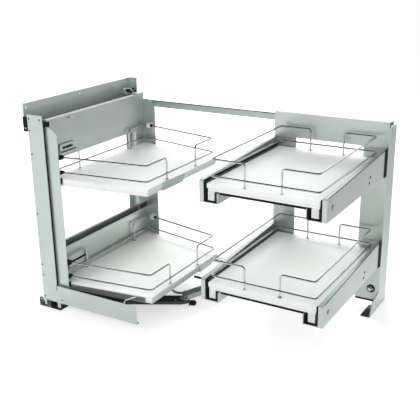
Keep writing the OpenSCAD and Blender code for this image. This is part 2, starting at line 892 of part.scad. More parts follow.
module right_board(top) {
    step = 7;
    color(white) union() {
        box([board_left, board_front, top - board_thick + step], [board_right, board_rear, top]);
        box([board_left + 2, board_front + 2, top - board_thick],
            [board_right - 2, board_rear - 2, top - board_thick + step]);
    }
}
module right_board_upper() { right_board(rear_board_level); }
module right_board_lower() { right_board(lower_rear_board); }

// black trim of a rear tray: a strip along each side of the board and a pan below it
module tray_trim(top) {
    z0 = top - board_thick;
    color(black) {
        for (x = [board_left - trim_thick, board_right])
            box([x, board_front + 2, z0 + 8], [x + trim_thick, board_rear - 2, top - 1]);
        box([channel_left_x + channel_width + 3, board_front + 2, z0 - pan_thick],
            [channel_right_x - channel_width - 3, board_rear - 20, z0]);
    }
}
module tray_trim_upper() { tray_trim(rear_board_level); }
module tray_trim_lower() { tray_trim(lower_rear_board); }

// gallery of a rear tray: a closed lower wire and two bent upper pieces with their posts
module right_gallery(top) {
    m = rear_wire_inset;
    x0 = board_left + m;
    x1 = board_right - m;
    y0 = board_front + m;
    y1 = board_rear - m;
    z1 = top + lower_wire_height;
    z2 = top + gallery_height;
    in = 3;
    third = (x1 - x0) * 0.33;
    color(chrome) union() {
        wire([[x0, y0, z1], [x1, y0, z1], [x1, y1, z1], [x0, y1, z1]], wire_d, wire_bend, true);
        for (side = [[x0 + in, x0 + third], [x1 - in, x1 - third]]) {
            wire([
                [side[1], y0 + in, top], [side[1], y0 + in, z2], [side[0], y0 + in, z2],
                [side[0], y1 - in, z2], [side[1], y1 - in, z2], [side[1], y1 - in, top]
            ], wire_d, wire_bend);
            for (y = [y0 + in, y1 - in]) post_foot(side[1], y, top);
        }
    }
}
module right_gallery_upper() { right_gallery(rear_board_level); }
module right_gallery_lower() { right_gallery(lower_rear_board); }

// coupling arms

module front_arm() {
    w = front_arm_width;
    color(shade_steel) translate([arm_x, arm_y, 0]) rotate(arm_angle) difference() {
        union() {
            sheet_z(arm_z, arm_thick) {
                circle(d = w);
                rect([0, -w / 2], [arm_length - 8, w / 2]);
                polygon([
                    [arm_length - 9, -w / 2], [arm_length - 8, -w / 2], [arm_length + arm_nose, -12],
                    [arm_length + arm_nose, 12], [arm_length - 8, w / 2], [arm_length - 9, w / 2]
                ]);
            }
            box([48, -w / 2, arm_z - 5], [arm_length - 8, -w / 2 + 3, arm_z + 1]);
            box([arm_length + arm_nose - 3, -12, arm_z - 14],
                [arm_length + arm_nose, 12, arm_z + arm_thick]);
            translate([arm_length + arm_nose - 1, 0, roller_d / 2 + floor_gap]) rotate([0, 90, 0])
                cylinder(d = axle_d, h = roller_length + 3);
        }
        bore_z(0, 0, arm_z + 2, pivot_d + 2 * pin_gap);
        bore_z(arm_length, 0, arm_z + 2, pivot_d + 2 * pin_gap);
    }
}

module arm_pivot() {
    color(steel) translate([arm_x, arm_y, sheet]) {
        cylinder(d = 18, h = arm_z - sheet - glide_gap);
        cylinder(d = pivot_d, h = arm_z - sheet + arm_thick + 3);
        translate([0, 0, arm_z - sheet + arm_thick + glide_gap]) cylinder(d = 14, h = 3);
    }
}

module elbow_pin() {
    color(steel) translate([elbow_x, elbow_y, 0]) {
        translate([0, 0, arm_z - 3]) cylinder(d = 14, h = 3);
        translate([0, 0, arm_z - 1]) cylinder(d = pivot_d, h = link_z - arm_z + 6);
        translate([0, 0, link_z + sheet + glide_gap]) cylinder(d = 14, h = 3);
    }
}

module rear_arm() {
    w = rear_arm_width;
    hook_r = 25;
    color(shade_steel) union() {
        translate([elbow_x, elbow_y, 0]) rotate(link_angle) difference() {
            union() {
                sheet_z(link_z, sheet) {
                    circle(d = w);
                    rect([0, -w / 2], [link_length, w / 2]);
                    translate([link_length, 0]) circle(d = w);
                }
                for (s = [-w / 2, w / 2 - sheet])
                    box([0, s, link_z], [link_length - w, s + sheet, link_z + link_wall]);
                translate([link_length, 0, link_z]) cylinder(d = pivot_d, h = bracket_z - link_z + 6);
                translate([link_length, 0, bracket_z + 3.5]) cylinder(d = 18, h = 3);
            }
            bore_z(0, 0, link_z, pivot_d + 2 * pin_gap);
        }
        translate([elbow_x - 38, elbow_y + 38, link_z])
            rotate([0, 0, 205]) rotate_extrude(angle = 125)
                rect([hook_r - 2, 0], [hook_r + 2, 6]);
        translate([elbow_x - 19, elbow_y + 22.5, link_z + 0.5]) rotate(14) cube([32, 7, 6.5]);
    }
}

// barrel roller on the arm's axle, just clear of the cabinet floor
module floor_roller() {
    tip = arm_length + arm_nose + glide_gap;
    r = roller_d / 2;
    bore = axle_d / 2 + pin_gap;
    color(black) translate([arm_x, arm_y, 0]) rotate(arm_angle)
        translate([tip, 0, r + floor_gap]) rotate([0, 90, 0]) rotate_extrude() {
            rect([bore, 0], [r - roller_round, roller_length]);
            rect([bore, roller_round], [r, roller_length - roller_round]);
            intersection() {
                rect([bore, 0], [r, roller_length]);
                for (h = [roller_round, roller_length - roller_round])
                    translate([r - roller_round, h]) circle(roller_round);
            }
        }
}

guide_rail();
floor_rail();
rear_bar();
rear_floor_rail();
upper_slide_outer();
lower_slide_outer();
upper_slide_mid();
lower_slide_mid();
door_frame();
front_post();
rear_upright();
upper_panel();
lower_panel();
upper_slide_inner();
lower_slide_inner();
catch_upper();
catch_lower();
frame_spacers();
board_packers();
left_board_upper();
left_board_lower();
left_gallery_upper();
left_gallery_lower();
left_strap_upper();
left_strap_lower();
tray_pan();
gallery_clips();
clip_screws();
header_plate();
left_upright();
right_upright();
header_glides();
foot_buffer();
upper_left_channel();
upper_right_channel();
lower_left_channel();
lower_right_channel();
tray_slide_bases();
stop_pin();
pivot_bracket();
tray_slide_mid_upper();
tray_slide_mid_lower();
right_board_upper();
right_board_lower();
right_gallery_upper();
right_gallery_lower();
tray_slide_tops_upper();
tray_slide_tops_lower();
slide_caps_upper();
slide_caps_lower();
front_arm();
arm_pivot();
rear_arm();
elbow_pin();
floor_roller();
rail_end_caps();
channel_plugs();
tray_trim_upper();
tray_trim_lower();
buffer_ring();
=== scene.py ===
import json
import math

import bpy
import bmesh
from mathutils import Matrix, Vector


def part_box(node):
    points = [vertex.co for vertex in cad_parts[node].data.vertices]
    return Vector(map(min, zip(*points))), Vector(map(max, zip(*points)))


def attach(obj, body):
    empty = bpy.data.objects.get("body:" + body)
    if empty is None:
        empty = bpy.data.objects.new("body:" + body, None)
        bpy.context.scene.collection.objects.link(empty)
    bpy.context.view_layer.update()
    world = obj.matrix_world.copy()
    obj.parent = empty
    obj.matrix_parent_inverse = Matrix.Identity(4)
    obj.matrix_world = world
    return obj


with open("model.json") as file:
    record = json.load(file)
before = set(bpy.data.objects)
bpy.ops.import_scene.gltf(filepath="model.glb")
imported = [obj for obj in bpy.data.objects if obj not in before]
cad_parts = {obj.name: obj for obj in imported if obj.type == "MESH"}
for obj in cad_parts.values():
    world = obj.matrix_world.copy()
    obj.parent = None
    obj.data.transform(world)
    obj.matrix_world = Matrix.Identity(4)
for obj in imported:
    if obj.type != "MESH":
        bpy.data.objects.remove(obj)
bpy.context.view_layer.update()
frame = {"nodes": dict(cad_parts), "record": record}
nodes = frame["nodes"]
scene = bpy.context.scene
MM = 0.001

# camera

YAW, PITCH, ROLL = 0.5343, 0.3387, 0.0137
EYE = Vector((1431.3, -1440.0, 978.8)) * MM
PICTURE_PX = 420.0
FOCAL_PX = 745.16
SENSOR = 36.0
CLIP_NEAR, CLIP_FAR = 0.05, 50.0


def make_camera():
    forward = Vector((-math.sin(YAW) * math.cos(PITCH), math.cos(YAW) * math.cos(PITCH), -math.sin(PITCH)))
    level_right = Vector((math.cos(YAW), math.sin(YAW), 0.0))
    level_down = forward.cross(level_right)
    right = math.cos(ROLL) * level_right + math.sin(ROLL) * level_down
    down = -math.sin(ROLL) * level_right + math.cos(ROLL) * level_down
    data = bpy.data.cameras.new("camera")
    data.sensor_width = SENSOR
    data.sensor_fit = "HORIZONTAL"
    data.lens = FOCAL_PX / PICTURE_PX * SENSOR
    data.clip_start = CLIP_NEAR
    data.clip_end = CLIP_FAR
    camera = bpy.data.objects.new("camera", data)
    scene.collection.objects.link(camera)
    turn = Matrix((right, -down, -forward)).transposed()
    camera.matrix_world = Matrix.Translation(EYE) @ turn.to_4x4()
    scene.camera = camera


make_camera()

# shader helpers

WHITE = (1, 1, 1, 1)
TONE_STOPS = (0.3, 0.7)
NOISE_SPAN = (0.25, 0.75)
EDGE_SPAN = (0.98, 0.80)
BEVEL_SAMPLES = 6
GRAIN_DEPTH = 0.0003
MIX_A, MIX_B, MIX_RESULT = 6, 7, 2


class Tree:
    """A cleared shader tree of a material or world, and helpers that add nodes to it."""

    def __init__(self, owner):
        owner.use_nodes = True
        self.tree = owner.node_tree
        self.tree.nodes.clear()

    def node(self, kind, **values):
        """A new node; each value goes to the input of that name, or else to a setting of the node."""
        n = self.tree.nodes.new(kind)
        for key, value in values.items():
            if key in n.inputs:
                n.inputs[key].default_value = value
            else:
                setattr(n, key, value)
        return n

    def link(self, a, out, b, inp):
        self.tree.links.new(a.outputs[out], b.inputs[inp])

    def remap(self, source, out, span, ends, curve="LINEAR"):
        """A value mapped from a span to two end values."""
        n = self.node("ShaderNodeMapRange", interpolation_type=curve)
        for socket, value in zip(("From Min", "From Max", "To Min", "To Max"), (*span, *ends)):
            n.inputs[socket].default_value = value
        self.link(source, out, n, "Value")
        return n

    def number_math(self, operation, a, a_out, b, b_out="Value"):
        """A calculation with a node's value and a second one, which is a number or another node's value."""
        n = self.node("ShaderNodeMath", operation=operation)
        self.link(a, a_out, n, 0)
        if isinstance(b, float):
            n.inputs[1].default_value = b
        else:
            self.link(b, b_out, n, 1)
        return n

    def vector_math(self, operation, source, out, fixed):
        """A calculation with a node's vector and a fixed one."""
        n = self.node("ShaderNodeVectorMath", operation=operation)
        self.link(source, out, n, 0)
        n.inputs[1].default_value = fixed
        return n

    def background_rays(self):
        """A factor that is 1 for camera, glossy and transmission rays."""
        path = self.node("ShaderNodeLightPath")
        seen = self.number_math("MAXIMUM", path, "Is Camera Ray", path, "Is Glossy Ray")
        return self.number_math("MAXIMUM", seen, "Value", path, "Is Transmission Ray")


class Look(Tree):
    """A material with one principled shader."""

    def __init__(self, name):
        self.mat = bpy.data.materials.new(name)
        super().__init__(self.mat)
        self.shader = self.node("ShaderNodeBsdfPrincipled")
        self.coord = self.node("ShaderNodeTexCoord")
        self.link(self.shader, "BSDF", self.node("ShaderNodeOutputMaterial"), "Surface")

    def set(self, socket, value):
        self.shader.inputs[socket].default_value = value

    def noise(self, scale, detail=3.0, stretch=(1, 1, 1)):
        place = self.node("ShaderNodeMapping", Scale=stretch)
        self.link(self.coord, "Object", place, "Vector")
        n = self.node("ShaderNodeTexNoise", Scale=scale, Detail=detail)
        self.link(place, "Vector", n, "Vector")
        return n

    def tone(self, source, dark, light):
        """A colour that runs from dark to light with a noise."""
        n = self.node("ShaderNodeValToRGB")
        for stop, position, colour in zip(n.color_ramp.elements, TONE_STOPS, (dark, light)):
            stop.position = position
            stop.color = (*colour, 1)
        self.link(source, "Fac", n, "Fac")
        return n

    def mix(self, source, out, colour, factor, factor_out):
        """A node's colour mixed towards a fixed colour."""
        n = self.node("ShaderNodeMix", data_type="RGBA")
        self.link(factor, factor_out, n, "Factor")
        self.link(source, out, n, MIX_A)
        n.inputs[MIX_B].default_value = (*colour, 1)
        return n

    def base(self, source, out="Color"):
        self.link(source, out, self.shader, "Base Color")

    def rough(self, source, low, high):
        """Roughness that changes with a noise."""
        spread = self.remap(source, "Fac", NOISE_SPAN, (low, high))
        self.link(spread, "Result", self.shader, "Roughness")

    def rounded(self, radius):
        """A normal that is rounded at sharp edges."""
        return self.node("ShaderNodeBevel", samples=BEVEL_SAMPLES, Radius=radius)

    def edge_mask(self, bevel):
        """A factor that is 1 on sharp edges and 0 on flat faces."""
        dot = self.node("ShaderNodeVectorMath", operation="DOT_PRODUCT")
        self.link(bevel, "Normal", dot, 0)
        self.link(self.node("ShaderNodeNewGeometry"), "True Normal", dot, 1)
        return self.remap(dot, "Value", EDGE_SPAN, (0.0, 1.0))

    def grain(self, source, strength, bevel):
        """A fine bump on the rounded normal."""
        bump = self.node("ShaderNodeBump", Strength=strength, Distance=GRAIN_DEPTH)
        self.link(source, "Fac", bump, "Height")
        self.link(bevel, "Normal", bump, "Normal")
        self.link(bump, "Normal", self.shader, "Normal")


# materials

COAT = (0.885, 1.0, 0.95)
SHEET_BEND, BOARD_EDGE, PLASTIC_EDGE = 0.0011, 0.0012, 0.0006


def coat(level):
    return tuple(level * c for c in COAT)


def coated_sheet(name, level, rough, metal, edge, under=None):
    """Silver-grey coated sheet: a fine coat, a slow change of tone and folded edges in a lighter colour, a
    painted highlight.

    under, where it is given, is a height and the level of the sheet below it, a darker level that paints
    shade there.
    """
    look = Look(name)
    bevel = look.rounded(SHEET_BEND)
    tone = look.tone(look.noise(scale=7.0), dark=coat(level * 0.95), light=coat(level * 1.04))
    # painted highlight: the folded edges take the lighter edge colour
    colour = look.mix(tone, "Color", coat(edge), look.edge_mask(bevel), "Result")
    # painted shade: below the given height the sheet takes the darker level
    if under:
        axes = look.node("ShaderNodeSeparateXYZ")
        look.link(look.coord, "Object", axes, "Vector")
        low = look.number_math("LESS_THAN", axes, "Z", under[0])
        colour = look.mix(colour, MIX_RESULT, coat(under[1]), low, "Value")
    look.base(colour, MIX_RESULT)
    fine = look.noise(scale=900.0, detail=2.0)
    look.rough(fine, low=rough - 0.05, high=rough + 0.06)
    look.set("Metallic", metal)
    look.grain(fine, strength=0.10, bevel=bevel)
    return look.mat


def chrome_wire(name):
    """Bright plated wire with a faint haze."""
    look = Look(name)
    haze = look.noise(scale=30.0, detail=2.0)
    look.base(look.tone(haze, dark=(0.54, 0.545, 0.545), light=(0.66, 0.665, 0.665)))
    look.rough(look.noise(scale=220.0), low=0.06, high=0.14)
    look.set("Metallic", 1.0)
    return look.mat


def faced_board(name):
    """White faced board with a faint pearl texture and softly rounded edges."""
    look = Look(name)
    slow = look.noise(scale=6.0, detail=4.0)
    look.base(look.tone(slow, dark=(0.875, 0.90, 0.875), light=(0.92, 0.94, 0.92)))
    pearl = look.noise(scale=700.0)
    look.rough(pearl, low=0.50, high=0.66)
    look.grain(pearl, strength=0.10, bevel=look.rounded(BOARD_EDGE))
    look.set("Specular IOR Level", 0.30)
    return look.mat


def plastic(name, dark, light, rough, shine):
    """Moulded plastic with a fine grain."""
    look = Look(name)
    look.base(look.tone(look.noise(scale=60.0), dark, light))
    fine = look.noise(scale=1400.0, detail=2.0)
    look.rough(fine, low=rough - 0.06, high=rough + 0.08)
    look.grain(fine, strength=0.25, bevel=look.rounded(PLASTIC_EDGE))
    look.set("Specular IOR Level", shine)
    return look.mat


def turned_steel(name):
    """Bare steel with fine turning lines."""
    look = Look(name)
    lines = look.noise(scale=160.0, stretch=(1, 1, 14))
    look.base(look.tone(lines, dark=(0.50, 0.51, 0.52), light=(0.66, 0.67, 0.68)))
    look.rough(lines, low=0.22, high=0.38)
    look.set("Metallic", 1.0)
    return look.mat


# edge is the lighter colour of each sheet's folded edges, a painted highlight
MATS = {
    "steel_sheet": coated_sheet("steel_sheet_look", level=0.585, rough=0.32, metal=0.72, edge=0.82),
    "dark_steel": coated_sheet("dark_steel_look", level=0.070, rough=0.42, metal=0.45, edge=0.16),
    "grey_steel": coated_sheet("grey_steel_look", level=0.27, rough=0.40, metal=0.60, edge=0.70),
    "plain_steel": turned_steel("plain_steel_look"),
    "chrome_wire": chrome_wire("chrome_wire_look"),
    "white_board": faced_board("white_board_look"),
    "black_plastic": plastic("black_plastic_look", dark=(0.008, 0.008, 0.009), light=(0.018, 0.018, 0.019),
                             rough=0.60, shine=0.08),
    "white_plastic": plastic("white_plastic_look", dark=(0.74, 0.74, 0.73), light=(0.82, 0.82, 0.81),
                             rough=0.40, shine=0.22),
}

for part in frame["record"]["subparts"]:
    mesh = nodes[part["node"]].data
    mesh.materials.clear()
    mesh.materials.append(MATS[part["material_slot"]])

# nodes with a sheet look of their own: the rear arm, guide rail and header plate take lighter levels than
# their sheets, painted light where they lie in shade; the tray pan is dark below its skirt and the right
# upright at its foot, painted shade
PAN_SHARE, PAN_SHADE_LEVEL = 0.448, 0.035
FOOT_TOP, FOOT_SHADE_LEVEL = 0.0026, 0.065
pan_lo, pan_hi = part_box("tray_pan")
pan_shade_top = pan_lo[2] + PAN_SHARE * (pan_hi[2] - pan_lo[2])
LIT_AND_SHADED_LOOKS = {
    "tray_pan": dict(level=0.27, rough=0.40, metal=0.60, edge=0.70, under=(pan_shade_top, PAN_SHADE_LEVEL)),
    "rear_arm": dict(level=0.42, rough=0.38, metal=0.55, edge=0.80),
    "right_upright": dict(level=0.60, rough=0.32, metal=0.72, edge=0.82, under=(FOOT_TOP, FOOT_SHADE_LEVEL)),
    "guide_rail": dict(level=0.80, rough=0.32, metal=0.72, edge=0.88),
    "header_plate": dict(level=0.68, rough=0.32, metal=0.72, edge=0.85),
}
for node, values in LIT_AND_SHADED_LOOKS.items():
    nodes[node].data.materials[0] = coated_sheet(f"{node}_look", **values)

# mesh helpers, in millimetres

RIGHT, LEFT = (1, 0, 0), (-1, 0, 0)
BACK, FRONT = (0, 1, 0), (0, -1, 0)
UP = (0, 0, 1)
SHARP_ANGLE = math.radians(38)
FLAT_ANGLE = math.pi / 3
ROUND_SIDES, ROD_SIDES, END_STEPS = 36, 14, 8
CORNER_ROUNDS, CORNER_CUT = 3, 0.2


def place_mm(node):
    lo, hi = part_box(node)
    return Vector(lo) / MM, Vector(hi) / MM


def add_piece(name, points, faces, body, slot):
    mesh = bpy.data.meshes.new(name)
    mesh.from_pydata([Vector(p) * MM for p in points], [], faces)
    bm = bmesh.new()
    bm.from_mesh(mesh)
    bmesh.ops.recalc_face_normals(bm, faces=bm.faces)
    bm.to_mesh(mesh)
    bm.free()
    mesh.polygons.foreach_set("use_smooth", [True] * len(mesh.polygons))
    mesh.set_sharp_from_angle(angle=SHARP_ANGLE)
    mesh.materials.append(MATS[slot])
    ob = bpy.data.objects.new(name, mesh)
    scene.collection.objects.link(ob)
    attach(ob, body)


def skin(rings):
    """Points and faces of a body through rings of equal point counts, closed at both ends."""
    count = len(rings[0])
    points = [p for ring in rings for p in ring]
    faces = []
    for k in range(len(rings) - 1):
        a, b = k * count, (k + 1) * count
        for i in range(count):
            j = (i + 1) % count
            faces.append((a + i, a + j, b + j, b + i))
    last = (len(rings) - 1) * count
    faces.append(tuple(range(count - 1, -1, -1)))
    faces.append(tuple(range(last, last + count)))
    return points, faces


def turned(name, profile, place, axis, body, slot):
    """A turned fitting from (radius, height) pairs; a pair with a third value has six flats."""
    turn = Vector(UP).rotation_difference(Vector(axis)).to_matrix()
    rings = []
    for radius, height, *flats in profile:
        ring = []
        for i in range(ROUND_SIDES):
            a = 2 * math.pi * i / ROUND_SIDES
            r = radius
            if flats:
                r *= math.cos(FLAT_ANGLE / 2) / math.cos(a % FLAT_ANGLE - FLAT_ANGLE / 2)
            ring.append(Vector(place) + turn @ Vector((r * math.cos(a), r * math.sin(a), height)))
        rings.append(ring)
    add_piece(name, *skin(rings), body, slot)


def long_pad(name, place, along, across, length, width, layers, body, slot):
    """A round-ended pad from (inset, height) layers, which rise along the cross product of its ways."""
    u, v = Vector(along).normalized(), Vector(across).normalized()
    w = u.cross(v)
    half = (length - width) / 2
    rings = []
    for inset, height in layers:
        r = width / 2 - inset
        ring = []
        for side, start in ((1, -math.pi / 2), (-1, math.pi / 2)):
            for i in range(END_STEPS + 1):
                a = start + math.pi * i / END_STEPS
                flat = u * (side * half + r * math.cos(a)) + v * (r * math.sin(a))
                ring.append(Vector(place) + flat + w * height)
        rings.append(ring)
    add_piece(name, *skin(rings), body, slot)


def bent_rod(name, path, radius, body, slot):
    """A round rod along a path, with its corners rounded."""
    points = [Vector(p) for p in path]
    for _ in range(CORNER_ROUNDS):
        cut = [points[0]]
        for a, b in zip(points, points[1:]):
            cut += [a.lerp(b, CORNER_CUT), a.lerp(b, 1 - CORNER_CUT)]
        points = cut + [points[-1]]
    turns = [2 * math.pi * i / ROD_SIDES for i in range(ROD_SIDES)]
    side = (points[1] - points[0]).orthogonal().normalized()
    rings = []
    for k, p in enumerate(points):
        ahead = points[min(k + 1, len(points) - 1)] - points[max(k - 1, 0)]
        ahead.normalize()
        side = (side - ahead * side.dot(ahead)).normalized()
        other = ahead.cross(side)
        rings.append([p + (side * math.cos(a) + other * math.sin(a)) * radius for a in turns])
    add_piece(name, *skin(rings), body, slot)


# profiles of turned fittings

SCREW = [(4.2, 0), (4.2, 1.0), (3.5, 1.9), (2.1, 2.2), (2.0, 1.1, 6), (0.3, 1.1)]
RIVET = [(3.3, 0), (3.2, 0.5), (2.3, 1.2), (0.4, 1.5)]
CUP_RIVET = [(4.6, 0), (4.6, 0.9), (3.8, 1.5), (2.2, 1.8), (2.0, 1.1, 6), (0.3, 1.1)]
WASHER = [(6.0, 0), (6.0, 0.5), (5.6, 0.8), (4.0, 0.8)]
BLIND_NUT = [
    (0.3, 4.6), (2.4, 4.6), (2.5, 0), (3.6, 0), (3.6, 0.9), (3.0, 1.3), (3.0, 5.6), (2.4, 6.2), (0.3, 6.2),
]
FLUSH_NUT = [(2.45, 0), (2.45, 1.4), (1.8, 1.4), (1.5, 0.4), (0.3, 0.4)]
CAP = [(6.5, 0), (6.5, 2.0), (5.4, 3.2), (2.5, 3.6), (0.3, 3.6)]

# layers of pads

PAD = [(0, 0), (0, 2.4), (0.7, 3.1), (1.6, 3.1), (1.9, 2.5)]
STRIP = [(0, 0), (0, 0.8), (0.4, 1.2)]
PLATE = [(0, 0), (0, 1.2), (0.3, 1.5)]
LINE = [(0, 0), (0, 0.5), (0.2, 0.6)]
FILM = [(0, 0), (0, 0.1), (0.1, 0.15)]
SHEET = 2.0

# nuts in the door frame's fixing holes; one hole has the guide rail close behind it
DOOR_HOLES = [(21, 33), (21, 99), (21, 132), (21, 285), (21, 457), (21, 554), (58, 554), (85, 33)]
NUT_SEAT = 2.05
FLUSH_HOLE = (21, 1.9, 522)
for i, (x, z) in enumerate(DOOR_HOLES):
    turned(f"door_nut_{i}", BLIND_NUT, (x, NUT_SEAT, z), BACK, "front_carriage", "dark_steel")
turned("door_nut_flush", FLUSH_NUT, FLUSH_HOLE, FRONT, "front_carriage", "dark_steel")

# black sliders in the slots of the two catch housings
UPPER_SLIDERS = ((-14.0, 11.0), (8.0, 22.0))
SLIDER_WIDTH, SLIDER_SEAT, SLOT_MARGIN = 6.2, 2.0, 15.0
lo, hi = place_mm("catch_upper")
mid = (lo + hi) / 2
for i, (step, length) in enumerate(UPPER_SLIDERS):
    long_pad(f"catch_pad_upper_{i}", (lo.x + SLIDER_SEAT, mid.y + step, mid.z), BACK, UP,
             length, SLIDER_WIDTH, PAD, "front_carriage", "black_plastic")
lo, hi = place_mm("catch_lower")
mid = (lo + hi) / 2
long_pad("catch_pad_lower", (lo.x + SLIDER_SEAT, mid.y, mid.z), BACK, UP,
         hi.y - lo.y - 2 * SLOT_MARGIN, SLIDER_WIDTH, PAD, "front_carriage", "black_plastic")

# rivets in black washers over the keyholes of the right channels
LEVELS = ("upper", "lower")
KEYHOLE_BACK, KEYHOLE_DROP = 34.0, 26.0
for level in LEVELS:
    lo, hi = place_mm(f"{level}_right_channel")
    spot = (hi.x, lo.y + KEYHOLE_BACK, hi.z - KEYHOLE_DROP)
    turned(f"channel_washer_{level}", WASHER, spot, RIGHT, "rear_carriage", "black_plastic")
    turned(f"channel_rivet_{level}", CUP_RIVET, spot, RIGHT, "rear_carriage", "steel_sheet")

# the channels' hems rise towards the rear; a black film just below the hem's top on the outer face paints a
# shadow line, and a black strip lies below the hem's inner edge
HEM_RISE = (3.0, 20.5)
HEM_WIDTH = (12.0, 9.0)
HEM_START, HEM_BEND, HEM_SEAT, HAIR = 1.5, 0.4, 0.05, 0.01
SHADE_LINE_SEAT, SHADE_LINE_DROP, SHADE_LINE_WIDTH, SHADE_LINE_SHORT = 0.04, 1.2, 2.2, 8.0
INNER_STRIP_DROP, INNER_STRIP_WIDTH, INNER_STRIP_SHORT = 2.6, 5.0, 6.0


def hem_outline(rise, width, under):
    """The hem's section as (inward, up) points, from the outer wall over the flange to its underside.

    HAIR keeps the last points apart at the front, where the flange lies on the wall.
    """
    return [
        (HEM_SEAT, 0), (HEM_SEAT, rise - HEM_BEND), (HEM_BEND, rise),
        (width - HEM_BEND, rise), (width, rise - HEM_BEND),
        (width, under + 2 * HAIR), (SHEET, under + HAIR), (SHEET, 0),
    ]


HEM_ENDS = (
    hem_outline(HEM_RISE[0], HEM_WIDTH[0], 0.0),
    hem_outline(HEM_RISE[1], HEM_WIDTH[1], HEM_RISE[1] - SHEET),
)
for level in LEVELS:
    for side, inward in (("left", 1), ("right", -1)):
        lo, hi = place_mm(f"{level}_{side}_channel")
        outer = lo.x if inward > 0 else hi.x
        front, rear = lo.y + HEM_START, hi.y
        rings = [[Vector((outer + inward * x, y, hi.z + z)) for x, z in outline]
                 for y, outline in zip((front, rear), HEM_ENDS)]
        add_piece(f"channel_hem_{level}_{side}", *skin(rings), "rear_carriage", "steel_sheet")
        run, climb = rear - front, HEM_RISE[1] - HEM_RISE[0]
        middle = (front + rear) / 2
        # black film below the hem's top on its outer face: a painted shadow line
        long_pad(f"channel_shade_line_{level}_{side}",
                 (outer + inward * SHADE_LINE_SEAT, middle, hi.z + sum(HEM_RISE) / 2 - SHADE_LINE_DROP),
                 (0, -inward * run, -inward * climb), (0, -climb, run),
                 run - SHADE_LINE_SHORT, SHADE_LINE_WIDTH, FILM, "rear_carriage", "black_plastic")
        long_pad(f"channel_inner_strip_{level}_{side}", (outer + inward * HEM_WIDTH[0], middle, hi.z - INNER_STRIP_DROP),
                 (0, inward, 0), UP, run - INNER_STRIP_SHORT, INNER_STRIP_WIDTH, LINE, "rear_carriage", "black_plastic")

# screw on the top block, rivet on the rail's front cap and rivet on the front arm
TOP_SCREW = (74, 6)
CAP_RIVET = (8, -1, 528)
ARM_RIVET = (355, 176)
lo, hi = place_mm("frame_spacers")
turned("top_screw", SCREW, (*TOP_SCREW, hi.z), UP, "front_carriage", "plain_steel")
turned("cap_rivet", RIVET, CAP_RIVET, FRONT, "fixed_rails", "plain_steel")
lo, hi = place_mm("front_arm")
turned("arm_rivet", RIVET, (*ARM_RIVET, hi.z), UP, "front_arm", "plain_steel")

# bolt and bent hook on the front of the lower front tray's skirt; the hook is bent steel drawn white, a
# painted highlight
SKIRT_START, SKIRT_END = Vector((109.7, 14.1, 0)), Vector((345.1, 42.9, 0))
SKIRT_BOLT = (327, 76.5)
SKIRT_HOOK = [(317, 82.5, 1.4), (294, 70.5, 1.4), (286, 68.5, 1.6), (276, 49.0, 2.0)]
SKIRT_HOOK_RADIUS = 2.0
skirt_way = (SKIRT_END - SKIRT_START).normalized()
skirt_face = skirt_way.cross(Vector(UP))


def on_skirt(x, z, out=0.0):
    along = (x - SKIRT_START.x) / skirt_way.x
    return SKIRT_START + skirt_way * along + skirt_face * out + Vector((0, 0, z))


turned("skirt_bolt", SCREW, on_skirt(*SKIRT_BOLT), skirt_face, "front_carriage", "plain_steel")
bent_rod("skirt_hook", [on_skirt(*point) for point in SKIRT_HOOK], SKIRT_HOOK_RADIUS,
         "front_carriage", "white_plastic")

# bright keeper strip on the floor rail
KEEPER, KEEPER_SLANT, KEEPER_LENGTH, KEEPER_WIDTH = (39.2, 12, 2), 0.07, 30.0, 4.2
long_pad("floor_strip", KEEPER, (KEEPER_SLANT, 1, 0), (-1, KEEPER_SLANT, 0), KEEPER_LENGTH, KEEPER_WIDTH,
         STRIP, "fixed_rails", "plain_steel")

# bright cap on the elbow pin, and the end of the front arm's lip beside its nose
ARM_START, ARM_END = Vector((58, 26, 0)), Vector((374, 198, 0))
LIP = [(-8.0, -21.0), (14.0, -12.0), (14.0, -9.0), (-8.0, -18.0)]
LIP_IN = [(-7.6, -20.4), (13.4, -11.8), (13.4, -9.4), (-7.6, -18.4)]
LIP_LAYERS = ((LIP_IN, 13.0), (LIP, 13.6), (LIP, 18.0))
arm_way = (ARM_END - ARM_START).normalized()
arm_side = Vector((-arm_way.y, arm_way.x, 0))


def on_arm(x, y, z):
    return ARM_END + arm_way * x + arm_side * y + Vector((0, 0, z))


lo, hi = place_mm("elbow_pin")
turned("elbow_cap", CAP, ((lo.x + hi.x) / 2, (lo.y + hi.y) / 2, hi.z), UP, "front_arm", "plain_steel")
lip_rings = [[on_arm(x, y, z) for x, y in ring] for ring, z in LIP_LAYERS]
add_piece("arm_lip_end", *skin(lip_rings), "front_arm", "dark_steel")

# at the rail's rear end a bright strip that rises, and before it a light hook around a black pad that
# paints the shade inside the rail's end
RAIL_STRIP = [(-12, -1), (2, -1), (27, 19)]
RAIL_STRIP_RADIUS = 2.0
RAIL_HOOK = [(3.8, 13.9), (-17.0, 18.4), (-36.0, 21.4), (-31.6, 11.9), (-19.4, 1.7), (-6.0, -5.0)]
RAIL_HOOK_RADIUS, RAIL_HOOK_SEAT = 1.5, 0.6
SHADE_PAD, SHADE_PAD_SEAT, SHADE_PAD_SLOPE = (-14.5, 11.0), 2.4, 0.15
SHADE_PAD_LENGTH, SHADE_PAD_WIDTH = 26.0, 12.0
slide_lo, slide_hi = place_mm("upper_slide_outer")


def on_slide_end(y, z, seat=0.0):
    """A place measured from the slide's upper rear corner, and to the left of its left face by seat."""
    return slide_lo.x - seat, slide_hi.y + y, slide_hi.z + z


